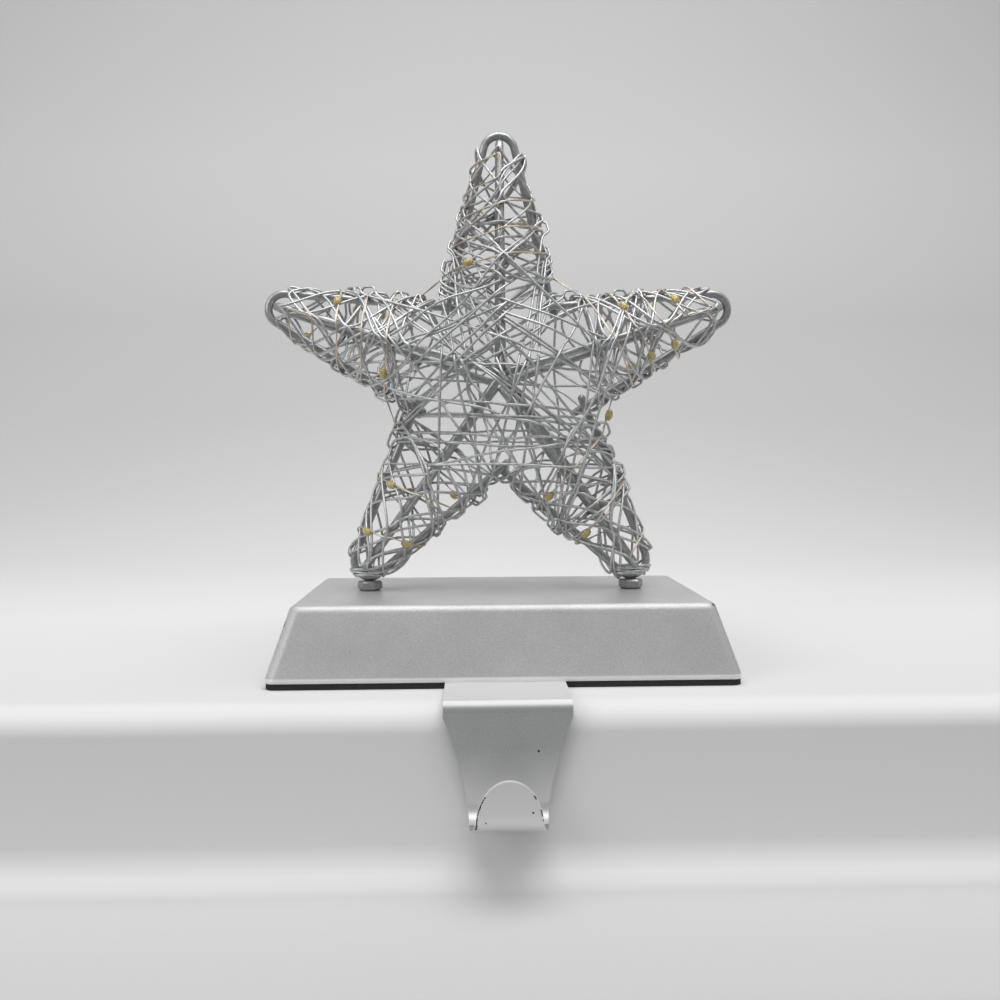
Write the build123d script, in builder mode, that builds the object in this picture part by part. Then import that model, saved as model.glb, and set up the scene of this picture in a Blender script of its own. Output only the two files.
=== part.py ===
import os
from math import asin, atan2, cos, degrees, hypot, radians, sin, tan

from build123d import *

os.makedirs("parts", exist_ok=True)

# Frame: millimetres, X to the right, Y to the back, Z up.
# The underside of the pad, which stands on the mantel, is Z = 0.

# Base sizes
base_w = 140.0  # width along the mantel, at the bottom
base_d = 79.0  # depth from front to back, at the bottom
base_h = 21.5  # height of the steel shell
base_inset = 6.5  # how far each wall leans in
hem_h = 1.0  # upright hem along the bottom edge
corner_r = 3.0
fold_r = 2.0  # rounded fold round the top face
sheet = 1.2  # steel sheet of the shell and the bottom plate
pad_t = 1.8  # foam pad
fit = 0.3  # room round a piece that drops into another

# Hook sizes
hook_w = 35.0  # strap under the base
hook_t = 1.5
hook_reach = 20.5  # from the base's front edge to the front of the hook plate
hook_low = -31.5  # lowest point of the curl
hook_tip = -16.5  # top of the upturned tongue
hook_fold_r = 2.0  # inside radius of the fold over the mantel edge
hook_curl_r = 4.5  # inside radius of the curl that takes the loop
hook_low_w = 20.8  # width at the bottom of the curl
tongue_w = 17.6  # width at the foot of the tongue
strap_in = 26.0  # length of strap under the base

# Star sizes
star_r = 80.5  # centre to the outside of a tip
notch_r = 29.5  # centre to the crossing between two points
star_half = 20.0  # middle plane to the front crossing of the ridges
heavy_d = 2.6  # frame wire
thin_d = 0.85  # wound wire
side_bend_r = 5.2  # bend at the tip of a side hairpin
ridge_bend_r = 4.2  # bend at the tip of a ridge hairpin
hub_gap = 2.1  # ridge ends stop this far from the middle
wire_air = 0.1  # air between wires that lie on each other
tail = 3.0  # how far a side hairpin's ends run past the crossing

# Light string sizes
lead_d = 0.9  # the two fine strands together
drop_d = 2.6
drop_l = 4.0

# Fastener sizes
nut_af = 7.0  # M4 foot nut across its flats
nut_h = 3.2
screw_d = 3.9  # M4 foot screw
head_af = 7.0  # its head across the flats
head_h = 2.6
screw_lap = 5.5  # iron of a weight behind the middle of its screw

# Battery sizes
cell_d = 10.5
cell_l = 44.5
skin = 1.5  # wall of the housing

heavy_r = heavy_d / 2
base_top = pad_t + base_h
plate_top = pad_t + sheet
foot_x = (star_r - heavy_r - side_bend_r) * sin(radians(36))
star_z = base_top + nut_h + side_bend_r + heavy_r + (star_r - heavy_r - side_bend_r) * cos(radians(36))
# The battery bay lies along the back wall, the weights stop short of it, and the star stands on the weights.
bay_l, bay_w = cell_l + 3.5, 2 * cell_d + 1.0
bay_y = base_d / 2 - base_inset - 1.0 - skin - bay_w / 2
weight_back = bay_y - bay_w / 2 - skin - 1.5
star_y = weight_back - screw_lap
points = {
    "top_point": 90,
    "left_arm": 162,
    "left_leg": 234,
    "right_leg": 306,
    "right_arm": 18,
}


def save(piece, node):
    piece.label = node
    export_step(piece, f"parts/{node}.step")


# Base shell: one steel pressing, open underneath, with a rounded fold round the top.
# It has holes for the two foot screws and for the light string's lead.
lead_x, lead_y = -foot_x - 1.0, star_y + 11.0
lead_hole_d = 5.0
lean = atan2(base_inset, base_h - hem_h)
wall = sheet / cos(lean)
with BuildPart() as base_shell:
    with BuildSketch(Plane.XY.offset(pad_t)):
        Rectangle(base_w, base_d)
    extrude(amount=hem_h)
    with BuildSketch(Plane.XY.offset(pad_t + hem_h)):
        Rectangle(base_w, base_d)
    extrude(amount=base_h - hem_h, taper=degrees(lean))
    corners = [e for e in base_shell.edges() if abs(e.tangent_at(0.5).Z) > 0.5]
    fillet(corners, corner_r)
    fillet(base_shell.faces().sort_by(Axis.Z)[-1].edges(), fold_r)
    with BuildSketch(Plane.XY.offset(pad_t)):
        Rectangle(base_w - 2 * wall, base_d - 2 * wall)
    extrude(amount=hem_h, mode=Mode.SUBTRACT)
    with BuildSketch(Plane.XY.offset(pad_t + hem_h)):
        Rectangle(base_w - 2 * wall, base_d - 2 * wall)
    extrude(amount=base_h - hem_h - sheet, taper=degrees(lean), mode=Mode.SUBTRACT)
    with BuildSketch(Plane.XY.offset(base_top - sheet)):
        with Locations((-foot_x, star_y), (foot_x, star_y)):
            Circle(screw_d / 2 + 0.25)
        with Locations((lead_x, lead_y)):
            Circle(lead_hole_d / 2)
    extrude(amount=sheet, mode=Mode.SUBTRACT)
save(base_shell.part, "base_shell")

# Two iron weights that fill the front corners. The foot screws clamp them under the top.
weight_in, weight_out = 23.0, base_w / 2 - base_inset - 3.5
weight_front = -(base_d / 2 - base_inset - 2.0)
weight_w, weight_d = weight_out - weight_in, weight_back - weight_front
head_room = 5.0
for side, name in ((-1, "left_weight"), (1, "right_weight")):
    with BuildPart() as weight:
        with BuildSketch(Plane.XY.offset(plate_top)):
            with Locations((side * (weight_in + weight_w / 2), weight_front + weight_d / 2)):
                Rectangle(weight_w, weight_d)
        extrude(amount=base_h - 2 * sheet)
        with BuildSketch(Plane.XY.offset(plate_top)):
            with Locations((side * foot_x, star_y)):
                Circle(screw_d / 2 + 0.25)
        extrude(amount=base_h, mode=Mode.SUBTRACT)
        with BuildSketch(Plane.XY.offset(plate_top)):
            with Locations((side * foot_x, star_y)):
                Rectangle(head_af + 1.2, head_af + 1.2)
        extrude(amount=head_room, mode=Mode.SUBTRACT)
    save(weight.part, name)

# Battery housing: a black moulding bonded to the plate by its flange, with a bay for two cells
# that opens downwards, a ledge at each end for the door and a pocket for the switch.
ledge = 5.0
flange = 4.0
pocket_l, pocket_w = 12.0, 10.0
house_left = -bay_l / 2 - ledge
house_right = bay_l / 2 + ledge + 2 * skin + pocket_l
house_x = (house_left + house_right) / 2
house_top = plate_top + cell_d + 1.6 + skin
pocket_x = house_right - skin - pocket_l / 2
floor_t = 1.4
knob_w, knob_d, travel = 3.0, 3.4, 2.5
with BuildPart() as battery_housing:
    with BuildSketch(Plane.XY.offset(plate_top)):
        with Locations((house_x, bay_y)):
            Rectangle(house_right - house_left, bay_w + 2 * skin)
    extrude(amount=house_top - plate_top)
    with BuildSketch(Plane.XY.offset(plate_top)):
        with Locations((house_x, bay_y)):
            Rectangle(house_right - house_left + 2 * flange, bay_w + 2 * skin)
    extrude(amount=skin)
    with BuildSketch(Plane.XY.offset(plate_top)):
        with Locations((0, bay_y)):
            Rectangle(bay_l, bay_w)
    extrude(amount=house_top - plate_top - skin, mode=Mode.SUBTRACT)
    with BuildSketch(Plane.XY.offset(plate_top + floor_t)):
        with Locations((pocket_x, bay_y)):
            Rectangle(pocket_l, pocket_w)
    extrude(amount=house_top, mode=Mode.SUBTRACT)
    with BuildSketch(Plane.XY.offset(plate_top)):
        with Locations((pocket_x, bay_y)):
            Rectangle(knob_w + travel + 1.0, knob_d + 0.6)
    extrude(amount=floor_t, mode=Mode.SUBTRACT)
save(battery_housing.part, "battery_housing")

# Bottom plate: flat steel inside the hem, with windows for the battery door and the switch.
door_l, door_w = bay_l + 2 * ledge - 1.0, bay_w + 1.0
with BuildPart() as bottom_plate:
    with BuildSketch(Plane.XY.offset(pad_t)):
        Rectangle(base_w - 2 * (wall + fit), base_d - 2 * (wall + fit))
        with Locations((0, bay_y)):
            Rectangle(door_l + fit, door_w + fit, mode=Mode.SUBTRACT)
        with Locations((pocket_x, bay_y)):
            Rectangle(knob_w + travel + 3.0, knob_d + 3.0, mode=Mode.SUBTRACT)
    extrude(amount=sheet)
save(bottom_plate.part, "bottom_plate")

# Hook: one sheet-steel strip, welded under the plate. It folds down over the mantel edge and curls up.
strap_z = pad_t - hook_t / 2
plate_y = -base_d / 2 - hook_reach + hook_t / 2
fold_mid, curl_mid = hook_fold_r + hook_t / 2, hook_curl_r + hook_t / 2
curl_y, curl_z = plate_y - curl_mid, hook_low + hook_t / 2 + curl_mid
front = Plane(origin=(0, plate_y + 3, 0), x_dir=(1, 0, 0), z_dir=(0, -1, 0))
with BuildPart() as hook:
    with BuildLine(Plane.YZ) as bend:
        strap = Line((-base_d / 2 + strap_in, strap_z), (plate_y + fold_mid, strap_z))
        fold = JernArc(strap @ 1, strap % 1, fold_mid, 90)
        drop = Line(fold @ 1, (plate_y, curl_z))
        curl = JernArc(drop @ 1, drop % 1, curl_mid, -180)
        Line(curl @ 1, (plate_y - 2 * curl_mid, hook_tip))
    with BuildSketch(Plane(origin=(0, -base_d / 2 + strap_in, strap_z), x_dir=(1, 0, 0), z_dir=(0, -1, 0))):
        Rectangle(hook_w, hook_t)
    sweep(path=bend.line)
    low_half, mid_half = hook_low_w / 2, hook_low_w / 2 + 3.0
    neck_z = strap_z - fold_mid - 1.0
    with BuildSketch(front):
        for s in (-1, 1):
            with BuildLine():
                edge = ThreePointArc(
                    (s * hook_w / 2, neck_z),
                    (s * mid_half, neck_z + 0.42 * (hook_low - neck_z)),
                    (s * low_half, hook_low - 0.1),
                )
                Polyline(edge @ 1, (s * hook_w, hook_low - 0.1), (s * hook_w, neck_z), edge @ 0)
            make_face()
    extrude(amount=3 - curl_y + plate_y, mode=Mode.SUBTRACT)
    tongue_half, tongue_z = tongue_w / 2, curl_z - 0.53 * curl_mid
    with BuildSketch(front.offset(3 - curl_y + plate_y)):
        with Locations((0, hook_low - 1)):
            Rectangle(2 * hook_w, hook_tip - hook_low + 4, align=(Align.CENTER, Align.MIN))
        with Locations((0, tongue_z)):
            Ellipse(tongue_half, hook_tip - tongue_z, mode=Mode.SUBTRACT)
        with BuildLine():
            Polyline(
                (-low_half, hook_low - 1), (low_half, hook_low - 1), (tongue_half, tongue_z), (-tongue_half, tongue_z),
                close=True,
            )
        make_face(mode=Mode.SUBTRACT)
    extrude(amount=2 * curl_mid, mode=Mode.SUBTRACT)
save(hook.part, "hook")

# Battery door: a flat black cover that presses into the plate's window, against the housing.
with BuildPart() as battery_door:
    with BuildSketch(Plane.XY.offset(pad_t)):
        with Locations((0, bay_y)):
            Rectangle(door_l - fit, door_w - fit)
    extrude(amount=sheet)
save(battery_door.part, "battery_door")

# Pad: black foam under the whole base, cut out for the strap and for the battery door and switch.
with BuildPart() as base_pad:
    with BuildSketch():
        RectangleRounded(base_w - 0.4, base_d - 0.4, corner_r)
        with Locations((0, -base_d / 2)):
            Rectangle(hook_w + 2 * fit, 2 * strap_in + 2 * fit, mode=Mode.SUBTRACT)
        with Locations((house_x, bay_y)):
            Rectangle(house_right - house_left, bay_w + 2.5, mode=Mode.SUBTRACT)
    extrude(amount=pad_t)
save(base_pad.part, "base_pad")

# Two cells side by side, head to tail.
cell_z = plate_top + 0.6 + cell_d / 2
for side, name in ((-1, "front_cell"), (1, "rear_cell")):
    tail_x = side * (bay_l / 2 - 2.8)
    with BuildPart() as cell:
        with BuildSketch(Plane((tail_x, bay_y + side * (cell_d / 2 + 0.2), cell_z), z_dir=(-side, 0, 0))):
            Circle(cell_d / 2)
        extrude(amount=cell_l)
    save(cell.part, name)

# Contact strips: bent leaf springs against the flat ends, flat strips against the nubs.
strip_t, strip_h = 0.4, 7.0
end_x = bay_l / 2
row = cell_d / 2 + 0.2
with BuildPart() as contact_strips:
    with BuildSketch(Plane.XY.offset(cell_z - strip_h / 2)):
        with Locations((-end_x + strip_t / 2, bay_y)):
            Rectangle(strip_t, 3 * row)
        with Locations((end_x - strip_t / 2, bay_y - row)):
            Rectangle(strip_t, 1.4 * row)
        with Locations((end_x - strip_t / 2, bay_y + row)):
            Rectangle(strip_t, 1.4 * row)
        for s in (-1, 1):
            root, reach = s * (end_x - strip_t), s * (end_x - 2.7)
            y = bay_y + s * row
            with BuildLine():
                Polyline((root, y - 2.6), (reach, y), (reach - s * strip_t / 4, y + 0.4), (root, y - 1.8), close=True)
            make_face()
    extrude(amount=strip_h)
save(contact_strips.part, "contact_strips")

# Switch: a small case on the pocket's floor with a slider whose knob shows through the slot.
slide_l, slide_w, slide_h = 5.0, 5.0, 1.2
slider_x = pocket_x - travel / 2
floor_z = plate_top + floor_t
with BuildPart() as switch_case:
    with BuildSketch(Plane.XY.offset(floor_z)):
        with Locations((pocket_x, bay_y)):
            Rectangle(pocket_l - 1.0, pocket_w - 1.0)
    extrude(amount=5.5)
    with BuildSketch(Plane.XY.offset(floor_z)):
        with Locations((pocket_x, bay_y)):
            Rectangle(slide_l + travel + fit, slide_w + fit)
    extrude(amount=slide_h + fit, mode=Mode.SUBTRACT)
save(switch_case.part, "switch_case")
with BuildPart() as switch_slider:
    with BuildSketch(Plane.XY.offset(floor_z + fit / 2)):
        with Locations((slider_x, bay_y)):
            Rectangle(slide_l, slide_w)
    extrude(amount=slide_h)
    with BuildSketch(Plane.XY.offset(0.8)):
        with Locations((slider_x, bay_y)):
            Rectangle(knob_w, knob_d)
    extrude(amount=floor_z + fit - 0.8)
save(switch_slider.part, "switch_slider")

# Foot nuts carry the star's two lower tips, and long screws come up into them from the weights.
# A nut's edges are bevelled above and below, and more so below.
with BuildPart() as foot_nuts:
    with BuildSketch(Plane.XY.offset(base_top)):
        with Locations((-foot_x, star_y), (foot_x, star_y)):
            RegularPolygon(nut_af / 2, 6, major_radius=False)
            Circle(screw_d / 2 + 0.05, mode=Mode.SUBTRACT)
    extrude(amount=nut_h)
    chamfer(foot_nuts.edges().group_by(Axis.Z)[-1].filter_by(GeomType.LINE), 0.5)
    chamfer(foot_nuts.edges().group_by(Axis.Z)[0].filter_by(GeomType.LINE), 0.8)
save(foot_nuts.part, "foot_nuts")
with BuildPart() as foot_screws:
    with BuildSketch(Plane.XY.offset(plate_top + head_room - head_h)):
        with Locations((-foot_x, star_y), (foot_x, star_y)):
            RegularPolygon(head_af / 2, 6, major_radius=False)
    extrude(amount=head_h)
    with BuildSketch(Plane.XY.offset(plate_top + head_room)):
        with Locations((-foot_x, star_y), (foot_x, star_y)):
            Circle(screw_d / 2)
    extrude(amount=base_top + nut_h - 0.4 - plate_top - head_room)
save(foot_screws.part, "foot_screws")

# Grommet: a rubber ring in the top of the shell where the lead comes up behind the left foot.
with BuildPart() as lead_grommet:
    with BuildSketch(Plane.XY.offset(base_top - sheet)):
        with Locations((lead_x, lead_y)):
            RegularPolygon(lead_hole_d / 2, 12)
            RegularPolygon(lead_d / 2 + 0.2, 6, mode=Mode.SUBTRACT)
    extrude(amount=sheet)
    with BuildSketch(Plane.XY.offset(base_top)):
        with Locations((lead_x, lead_y)):
            RegularPolygon(lead_hole_d / 2 + 0.9, 12)
            RegularPolygon(lead_d / 2 + 0.2, 6, mode=Mode.SUBTRACT)
    extrude(amount=0.8)
save(lead_grommet.part, "lead_grommet")

# Star frame: each point is two crossed hairpins of heavy wire.
# A side hairpin lies in the star's plane and is turned a little about the point's axis,
# so that its ends pass in front of one neighbour's ends and behind the other's.
# A ridge hairpin stands across it, nested under its bend, and runs to the hubs in front and behind.
side_u = star_r - heavy_r - side_bend_r
notch_u, notch_v = notch_r * cos(radians(36)), notch_r * sin(radians(36))
side_slope = atan2(notch_v, side_u - notch_u) - asin(side_bend_r / hypot(notch_v, side_u - notch_u))
side_turn = asin((heavy_d + wire_air) / 2 / notch_v)
ridge_u = star_r - 3 * heavy_r - wire_air - ridge_bend_r
ridge_slope = atan2(star_half, ridge_u - hub_gap) - asin(ridge_bend_r / hypot(star_half, ridge_u - hub_gap))


def side_at(u):
    """Distance of a side wire from its point's axis, u along the axis."""
    return side_bend_r * cos(side_slope) + (side_u + side_bend_r * sin(side_slope) - u) * tan(side_slope)


def ridge_at(u):
    """Distance of a ridge wire from the star's plane, u along the point's axis."""
    return ridge_bend_r * cos(ridge_slope) + (ridge_u + ridge_bend_r * sin(ridge_slope) - u) * tan(ridge_slope)


def wire(corners, radius, sides):
    """A wire along straight runs with mitred corners. Its section has few sides, to keep the facets down."""
    with BuildPart() as run:
        with BuildLine() as path:
            Polyline(*corners)
        with BuildSketch(Plane(origin=corners[0], z_dir=corners[1] - corners[0])):
            RegularPolygon(radius, sides)
        sweep(path=path.line, transition=Transition.RIGHT)
    return run.part


def hairpin(plane, bend_u, bend_r, slope, end_u, end_v):
    """A heavy wire bent back on itself at a tip in short chords, its legs spreading to (end_u, +-end_v)."""
    flat_corners = [(end_u, end_v)]
    for k in range(bend_chords + 1):
        a = (radians(90) - slope) * (1 - 2 * k / bend_chords)
        flat_corners.append((bend_u + bend_r * cos(a), bend_r * sin(a)))
    flat_corners.append((end_u, -end_v))
    return wire([plane.from_local_coords(Vector(u, v)) for u, v in flat_corners], heavy_r, heavy_sides)


bend_chords, heavy_sides, thin_sides, lead_sides = 7, 10, 5, 4
for name, angle in points.items():
    along = Vector(cos(radians(angle)), 0, sin(radians(angle)))
    across = Vector(sin(radians(angle)), 0, -cos(radians(angle)))
    turned = across * sin(side_turn) + Vector(0, -cos(side_turn), 0)
    flat = Plane(origin=(0, star_y, star_z), x_dir=along, z_dir=turned)
    tail_u = notch_u - tail * cos(side_slope)
    save(hairpin(flat, side_u, side_bend_r, side_slope, tail_u, side_at(tail_u)), f"{name}_side_wire")
    upright = Plane(origin=(0, star_y, star_z), x_dir=along, z_dir=across)
    save(hairpin(upright, ridge_u, ridge_bend_r, ridge_slope, hub_gap, star_half), f"{name}_ridge_wire")


def tight(ribs, offsets):
    """Corners of a wire pulled round ribs: each straight run stands off the rib centres it joins,
    and a sharp corner is cut square so that it stays near its rib."""
    corners = []
    last = len(ribs) - 1
    for k, rib in enumerate(ribs):
        here = Vector(*rib)
        before = here - Vector(*ribs[k - 1]) if k else Vector(*ribs[1]) - here
        after = Vector(*ribs[k + 1]) - here if k < last else before
        n1 = Vector(-before.Y, before.X).normalized()
        n2 = Vector(-after.Y, after.X).normalized()
        middle = (n1 + n2).normalized()
        if n1.dot(n2) > 0.2:
            corners.append((k, here + middle * (offsets[k] / n1.dot(middle))))
            continue
        square = Vector(-middle.Y, middle.X)
        for n in (n1, n2):
            step = offsets[k] * (1 - n.dot(middle)) / n.dot(square)
            corners.append((k, here + middle * offsets[k] + square * step))
    return corners


def on_star(angle, u, v, y):
    """A place on the star: u out along a direction, v sideways from it, y back from the star's plane."""
    a = radians(angle)
    return Vector(u * cos(a) - v * sin(a), star_y + y, star_z + u * sin(a) + v * cos(a))


def round_point(angle, first_rib, stations, offsets):
    """Corners of a wire wound round the four ribs of a point: front ridge, one side, back ridge, other side."""
    ribs = []
    for k, u in enumerate(stations, first_rib):
        if k % 2:
            s = -1 if k % 4 == 1 else 1
            ribs.append((s * side_at(u) * cos(side_turn), -s * side_at(u) * sin(side_turn)))
        else:
            ribs.append((0, -ridge_at(u) if k % 4 == 0 else ridge_at(u)))
    return [on_star(angle, stations[k], c.X, c.Y) for k, c in tight(ribs, offsets)]


# Wound wire: on each point it winds out to the tip and back over itself to the root.
lay = thin_d + 2 * wire_air  # one layer of thin wire
first = heavy_r + thin_d / 2 + wire_air
root_u, end_u = notch_u + 9.0, ridge_u + 1.5
turns_out, turns_back = 6, 5
for i, (name, angle) in enumerate(points.items()):
    stations, offsets = [], []
    for k in range(4 * (turns_out + turns_back) + 1):
        out = k / (4 * turns_out)
        back = (k - 4 * turns_out) / (4 * turns_back)
        u = root_u + (end_u - root_u) * out if out <= 1 else end_u - (end_u - root_u - 2.0) * back
        stations.append(u + 0.8 * sin(2.1 * k + 1.3 * i))
        offsets.append(first if out <= 1 else first + lay)
    save(wire(round_point(angle, 0, stations, offsets), thin_d / 2, thin_sides), f"{name}_wrap")

# Belts: five bundles of wound wire, each through two notches and over the two ridges between them.
# The wires lie side by side in a notch, on the flank of the point they cross, and fan out over the ridges.
belt_turns = 3
belt_step = 8.0  # between turns where they cross a ridge
notch_off = heavy_d + thin_d / 2 + 2 * wire_air  # clear of the crossed ends in a notch
c36, s36 = cos(radians(36)), sin(radians(36))
notch_w = notch_r * cos(radians(72))
with BuildPart() as body_wraps:
    for angle in range(-90, 270, 72):
        ribs, offsets, stations = [], [], []
        for k in range(6 * belt_turns):
            turn, spot = divmod(k, 6)
            if spot in (2, 5):
                w = notch_w + notch_off * tan(radians(18)) + (turn + 1) * lay
                u = (w + s36 * side_at(0)) / (c36 + s36 * tan(side_slope))
                s = -1 if spot == 2 else 1
                ribs.append((s * (s36 * u + c36 * side_at(u)), 0))
                offsets.append(notch_off)
            else:
                w = notch_w + 3.0 + belt_step * (turn - (belt_turns - 1) / 2)
                s = 1 if spot in (0, 4) else -1
                depth = ridge_at(w / c36)
                ribs.append((s * w * s36 / c36, -depth if spot < 2 else depth))
                offsets.append(first if s > 0 else first + 1.25 * lay)
            stations.append(w)
        corners = [on_star(angle, stations[k], c.X, c.Y) for k, c in tight(ribs, offsets)]
        add(wire(corners, thin_d / 2, thin_sides))
save(body_wraps.part, "body_wraps")

# Light string: from the housing up through the grommet, then round the points from leg to leg.
# On a point it winds out, turns back on the front ridge and winds in beside itself,
# then passes through the notch to the next point. Drops are moulded round some of its long runs,
# counted from the left foot, so that they sit where they show in front and as often behind.
lit = (1, 2, 5, 7, 10, 12, 15, 17, 21, 27, 29, 34, 38, 46, 49, 53, 56, 57, 60, 62, 64, 66)
led_off = first + lay + (thin_d + drop_d) / 2 + wire_air
led_root, led_end = root_u + 0.5, end_u - 2.0
led_step = (led_end - led_root) / 9
lead = [
    Vector(house_left - 0.05, bay_y, plate_top + 6),
    Vector(house_left - 3.0, bay_y, plate_top + 6),
    Vector(lead_x, lead_y, plate_top + 10),
    Vector(lead_x, lead_y, base_top + 2.5),
]
order = ["left_leg", "left_arm", "top_point", "right_arm", "right_leg"]
for name in order:
    if name != "left_leg":
        stations = [led_root + led_step * k for k in range(10)]
        lead += round_point(points[name], 3, stations, [led_off] * 10)
    if name != "right_leg":
        count = 10 if name == "left_leg" else 8
        stations = [led_root + led_step * k for k in range(count)]
        lead += reversed(round_point(points[name], 5, stations, [led_off] * count))
save(wire(lead, lead_d / 2, lead_sides), "led_wire")
long_runs = [(a, b) for a, b in zip(lead[4:], lead[5:]) if (b - a).length > 2.2 * drop_l]
with BuildPart() as led_drops:
    for a, b in [run for k, run in enumerate(long_runs) if k in lit]:
        at = Plane(origin=(a + b) * 0.5, z_dir=b - a)
        for lift, r in ((-0.5, 0.36), (0, 0.5), (0.5, 0.36)):
            with BuildSketch(at.offset(lift * drop_l)):
                RegularPolygon(r * drop_d, 6)
        loft(ruled=True)
        with BuildSketch(at.offset(-drop_l)):
            RegularPolygon(lead_d / 2 + 0.25, 4)
        extrude(amount=2 * drop_l, mode=Mode.SUBTRACT)
save(led_drops.part, "led_drops")
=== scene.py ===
import bpy
import numpy as np
from mathutils import Matrix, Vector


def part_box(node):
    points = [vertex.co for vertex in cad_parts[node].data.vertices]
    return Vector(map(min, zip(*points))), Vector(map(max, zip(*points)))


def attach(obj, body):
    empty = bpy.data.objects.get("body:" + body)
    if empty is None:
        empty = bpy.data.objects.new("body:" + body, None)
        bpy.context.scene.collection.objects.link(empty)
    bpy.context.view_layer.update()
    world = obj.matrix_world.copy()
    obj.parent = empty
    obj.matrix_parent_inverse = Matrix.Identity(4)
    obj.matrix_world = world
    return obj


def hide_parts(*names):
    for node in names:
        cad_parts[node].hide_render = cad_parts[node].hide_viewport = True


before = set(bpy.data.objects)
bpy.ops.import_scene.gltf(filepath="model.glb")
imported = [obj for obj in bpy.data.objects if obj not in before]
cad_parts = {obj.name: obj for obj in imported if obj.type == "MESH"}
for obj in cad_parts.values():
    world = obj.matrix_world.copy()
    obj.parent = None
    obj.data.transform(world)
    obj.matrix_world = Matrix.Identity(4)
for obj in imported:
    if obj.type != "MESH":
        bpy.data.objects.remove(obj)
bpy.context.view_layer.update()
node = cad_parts

# Base shell: one steel pressing with leaning walls, a rounded fold round the top and a lip along the bottom edge.
# It is sprayed with a silver paint that dries to a fine even grain, and a painted highlight makes it paler along the
# lip. The paint is chipped to the dark steel in a few small spots on the two front corners.


def shader(name, metallic, roughness):
    """A new node material: its node tree and its main shader with two plain values set."""
    material = bpy.data.materials.new(name)
    material.use_nodes = True
    bsdf = material.node_tree.nodes["Principled BSDF"]
    bsdf.inputs["Metallic"].default_value = metallic
    bsdf.inputs["Roughness"].default_value = roughness
    return material, material.node_tree, bsdf


def speckle(tree, scale, detail=2.0, stretch=(1, 1, 1)):
    """Noise in the piece's own space; scale is spots a metre, stretch squeezes it along the axes."""
    place = tree.nodes.new("ShaderNodeTexCoord")
    mapping = tree.nodes.new("ShaderNodeMapping")
    mapping.inputs["Scale"].default_value = stretch
    noise = tree.nodes.new("ShaderNodeTexNoise")
    noise.inputs["Scale"].default_value = scale
    noise.inputs["Detail"].default_value = detail
    tree.links.new(place.outputs["Object"], mapping.inputs["Vector"])
    tree.links.new(mapping.outputs["Vector"], noise.inputs["Vector"])
    return noise.outputs["Fac"]


def ramp(tree, value, stops):
    """Colour picked from value by stops of (position, grey or colour)."""
    node_ramp = tree.nodes.new("ShaderNodeValToRGB")
    bar = node_ramp.color_ramp
    while len(bar.elements) < len(stops):
        bar.elements.new(0.5)
    for element, (at, colour) in zip(bar.elements, stops):
        element.position = at
        element.color = (*colour, 1) if isinstance(colour, tuple) else (colour, colour, colour, 1)
    tree.links.new(value, node_ramp.inputs["Fac"])
    return node_ramp.outputs["Color"]


def mix(tree, kind, factor, a, b):
    """Two colours mixed; factor is a number or a socket."""
    node_mix = tree.nodes.new("ShaderNodeMix")
    node_mix.data_type = "RGBA"
    node_mix.blend_type = kind
    if isinstance(factor, float):
        node_mix.inputs["Factor"].default_value = factor
    else:
        tree.links.new(factor, node_mix.inputs["Factor"])
    for socket, colour in ((node_mix.inputs["A"], a), (node_mix.inputs["B"], b)):
        if isinstance(colour, tuple):
            socket.default_value = (*colour, 1)
        else:
            tree.links.new(colour, socket)
    return node_mix.outputs["Result"]


def bump(tree, bsdf, height, depth, strength=1.0):
    """Raises the surface by height, which runs 0 to 1, times depth in metres."""
    node_bump = tree.nodes.new("ShaderNodeBump")
    node_bump.inputs["Distance"].default_value = depth
    node_bump.inputs["Strength"].default_value = strength
    tree.links.new(height, node_bump.inputs["Height"])
    previous = bsdf.inputs["Normal"].links
    if previous:
        tree.links.new(previous[0].from_socket, node_bump.inputs["Normal"])
    tree.links.new(node_bump.outputs["Normal"], bsdf.inputs["Normal"])


def place_on(tree, axis, space="Object"):
    """One axis of the piece's own space, in metres."""
    place = tree.nodes.new("ShaderNodeTexCoord")
    split = tree.nodes.new("ShaderNodeSeparateXYZ")
    tree.links.new(place.outputs[space], split.inputs["Vector"])
    return split.outputs[axis]


def share(tree, value, start, end):
    """0 where value is at start, 1 where it is at end, and even between them."""
    node_range = tree.nodes.new("ShaderNodeMapRange")
    node_range.inputs["From Min"].default_value = start
    node_range.inputs["From Max"].default_value = end
    tree.links.new(value, node_range.inputs["Value"])
    return node_range.outputs["Result"]


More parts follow.
